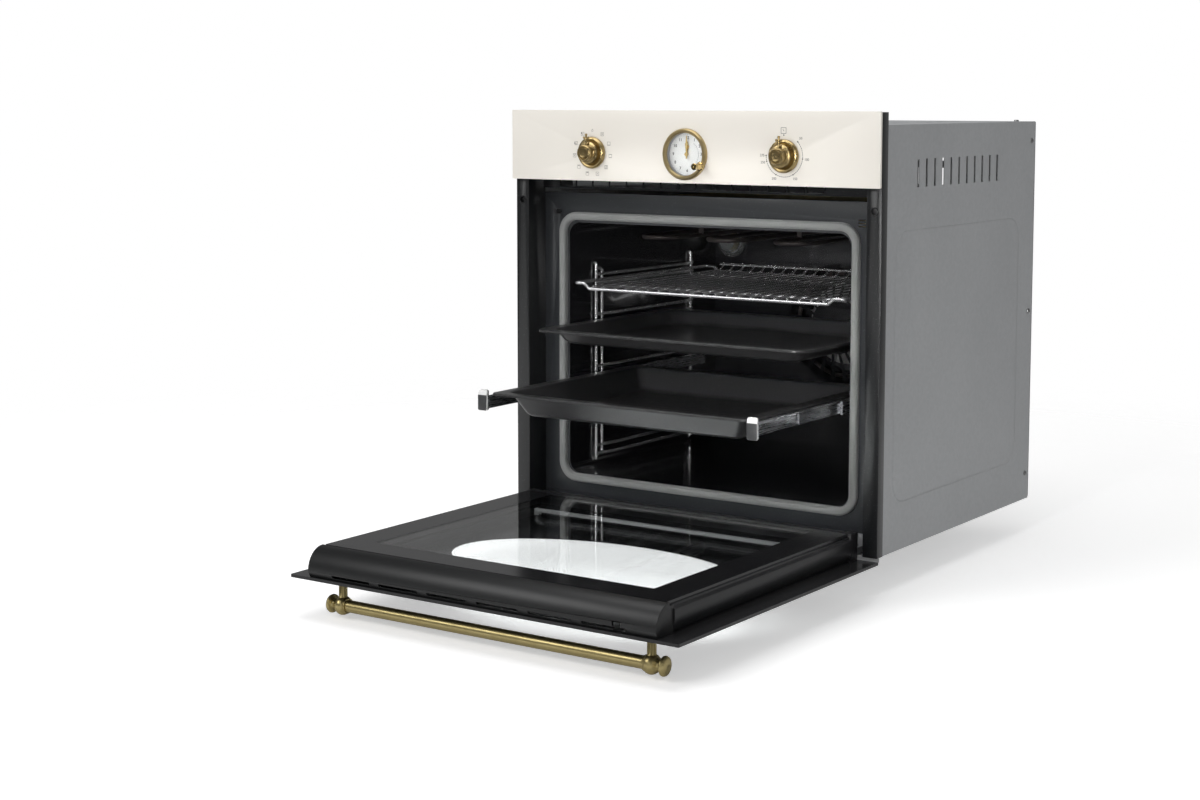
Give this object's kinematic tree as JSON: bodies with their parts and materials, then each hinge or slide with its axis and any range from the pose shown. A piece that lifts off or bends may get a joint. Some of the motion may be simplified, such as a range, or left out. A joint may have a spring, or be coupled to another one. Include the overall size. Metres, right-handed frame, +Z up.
{
  "type": "built-in electric oven",
  "caption": "Built-in electric oven with an ivory front, a drop-down glazed door with brass rail, brass knobs and clock, pull-out trays and a wire rack in a black enamel cavity.",
  "frame": {"origin": "underside of the housing, middle of the width, in the plane where the front strips meet the cabinet", "axes": "+X to the right seen from the front, +Y to the back, +Z up"},
  "size_m": [0.595, 1.027, 0.6447],
  "materials": {
    "galvanised_sheet": "zinc-coated sheet, matt with a faint grain",
    "anthracite_frame": "anthracite powder coat, satin",
    "black_enamel": "black vitreous enamel on steel, glossy",
    "tray_enamel": "speckled dark enamel on steel, semi-gloss",
    "door_gasket": "grey silicone and glass braid, matt",
    "heater_tube": "heat-darkened steel tube, satin",
    "motor_steel": "plain steel, satin",
    "lamp_glass": "pressed clear glass, glossy",
    "mineral_wool": "mineral wool, matt and fibrous",
    "ivory_enamel": "glass with ivory enamel behind it, glossy",
    "antique_brass": "antique brass, burnished highs and dark lows",
    "clock_dial": "ivory dial, satin",
    "clear_glass": "clear glass, polished",
    "switch_body": "moulded plastic, matt",
    "chromed_wire": "chromed steel wire, bright",
    "rail_steel": "bright rolled steel, fine grain",
    "coated_glass": "grey heat-reflecting glass, polished",
    "black_profile": "black paint, semi-gloss",
    "graphite_trim": "graphite plastic, satin",
    "rotor_plastic": "dark glass-filled plastic, matt"
  },
  "bodies": {
    "housing": {"housing_base": "galvanised_sheet", "housing_wrap": "galvanised_sheet", "housing_rear": "galvanised_sheet", "side_strip_left": "anthracite_frame", "side_strip_right": "anthracite_frame", "front_frame": "anthracite_frame", "air_outlet": "anthracite_frame", "cavity_liner": "black_enamel", "cavity_rear": "black_enamel", "cavity_gasket": "door_gasket", "fan_cover": "black_enamel", "ring_element": "heater_tube", "grill_element": "heater_tube", "base_element": "heater_tube", "fan_motor": "motor_steel", "lamp_glass": "lamp_glass", "insulation": "mineral_wool", "blower_housing": "galvanised_sheet", "panel_glass": "ivory_enamel", "panel_carrier": "anthracite_frame", "clock_bezel": "antique_brass", "clock_case": "clock_dial", "clock_glass": "clear_glass", "function_switch": "switch_body", "thermostat": "switch_body", "side_rack_left": "chromed_wire", "side_rack_right": "chromed_wire", "rail_outer_left": "rail_steel", "rail_outer_right": "rail_steel", "hinge_case_left": "galvanised_sheet", "hinge_case_right": "galvanised_sheet", "terminal_block": "switch_body"},
    "door": {"door_glass_outer": "ivory_enamel", "door_glass_mid": "coated_glass", "door_glass_inner": "coated_glass", "door_side_left": "black_profile", "door_side_right": "black_profile", "door_top_trim": "graphite_trim", "door_bottom_rail": "black_profile", "hinge_arm_left": "galvanised_sheet", "hinge_arm_right": "galvanised_sheet", "handle_bar": "antique_brass", "handle_post_left": "antique_brass", "handle_post_right": "antique_brass"},
    "tray_carriage": {"deep_tray": "tray_enamel", "rail_inner_left": "rail_steel", "rail_inner_right": "rail_steel"},
    "rail_mid_left": {"rail_mid_left": "rail_steel"},
    "rail_mid_right": {"rail_mid_right": "rail_steel"},
    "shallow_tray": {"shallow_tray": "tray_enamel"},
    "wire_rack": {"wire_rack": "chromed_wire"},
    "function_knob": {"function_knob": "antique_brass"},
    "thermostat_knob": {"thermostat_knob": "antique_brass"},
    "clock_knob": {"clock_knob": "antique_brass"},
    "minute_hand": {"minute_hand": "antique_brass"},
    "hour_hand": {"hour_hand": "antique_brass"},
    "door_switch_pin": {"door_switch_pin": "graphite_trim"},
    "fan_impeller": {"fan_impeller": "motor_steel"},
    "blower_rotor": {"blower_rotor": "rotor_plastic"}
  },
  "joints": [
    {"name": "door_hinge", "type": "hinge", "parent": "housing", "child": "door", "pos_m": [0, -0.0164, 0.0074], "axis": [-1, 0, 0], "range_deg": [0, 90]},
    {"name": "tray_slide", "type": "slide", "parent": "housing", "child": "tray_carriage", "axis": [0, 1, 0], "range_m": [0, 0.225]},
    {"name": "rail_mid_left_slide", "type": "slide", "parent": "housing", "child": "rail_mid_left", "axis": [0, 1, 0], "range_m": [0, 0.1125]},
    {"name": "rail_mid_right_slide", "type": "slide", "parent": "housing", "child": "rail_mid_right", "axis": [0, 1, 0], "range_m": [0, 0.1125]},
    {"name": "shallow_slide", "type": "slide", "parent": "housing", "child": "shallow_tray", "axis": [0, 1, 0], "range_m": [0, 0.105]},
    {"name": "rack_slide", "type": "slide", "parent": "housing", "child": "wire_rack", "axis": [0, 1, 0], "range_m": [-0.2, 0]},
    {"name": "switch_slide", "type": "slide", "parent": "housing", "child": "door_switch_pin", "axis": [0, 1, 0], "range_m": [0, 0.0045]},
    {"name": "function_turn", "type": "hinge", "parent": "housing", "child": "function_knob", "pos_m": [-0.1555, -0.02, 0.5353], "axis": [0, 1, 0], "continuous": true},
    {"name": "thermostat_turn", "type": "hinge", "parent": "housing", "child": "thermostat_knob", "pos_m": [0.1555, -0.02, 0.5353], "axis": [0, 1, 0], "range_deg": [0, 280]},
    {"name": "clock_set_turn", "type": "hinge", "parent": "housing", "child": "clock_knob", "pos_m": [0.02754, -0.03, 0.5194], "axis": [0, 1, 0], "continuous": true},
    {"name": "minute_turn", "type": "hinge", "parent": "housing", "child": "minute_hand", "pos_m": [0, -0.02, 0.5353], "axis": [0, 1, 0], "continuous": true},
    {"name": "hour_turn", "type": "hinge", "parent": "housing", "child": "hour_hand", "pos_m": [0, -0.02, 0.5353], "axis": [0, 1, 0], "continuous": true},
    {"name": "fan_turn", "type": "hinge", "parent": "housing", "child": "fan_impeller", "pos_m": [0, 0.45, 0.257], "axis": [0, 1, 0], "continuous": true},
    {"name": "blower_turn", "type": "hinge", "parent": "housing", "child": "blower_rotor", "pos_m": [0, 0.33, 0.5], "axis": [0, 0, 1], "continuous": true}
  ],
  "couplings": [
    {"joint": "tray_slide", "follows": "door_hinge", "m_per_rad": 0.14323},
    {"joint": "rail_mid_left_slide", "follows": "door_hinge", "m_per_rad": 0.071615},
    {"joint": "rail_mid_right_slide", "follows": "door_hinge", "m_per_rad": 0.071615},
    {"joint": "shallow_slide", "follows": "door_hinge", "m_per_rad": 0.06684},
    {"joint": "switch_slide", "follows": "door_hinge", "m_per_rad": 0.00286},
    {"joint": "hour_turn", "follows": "minute_turn", "ratio": 0.083333}
  ]
}
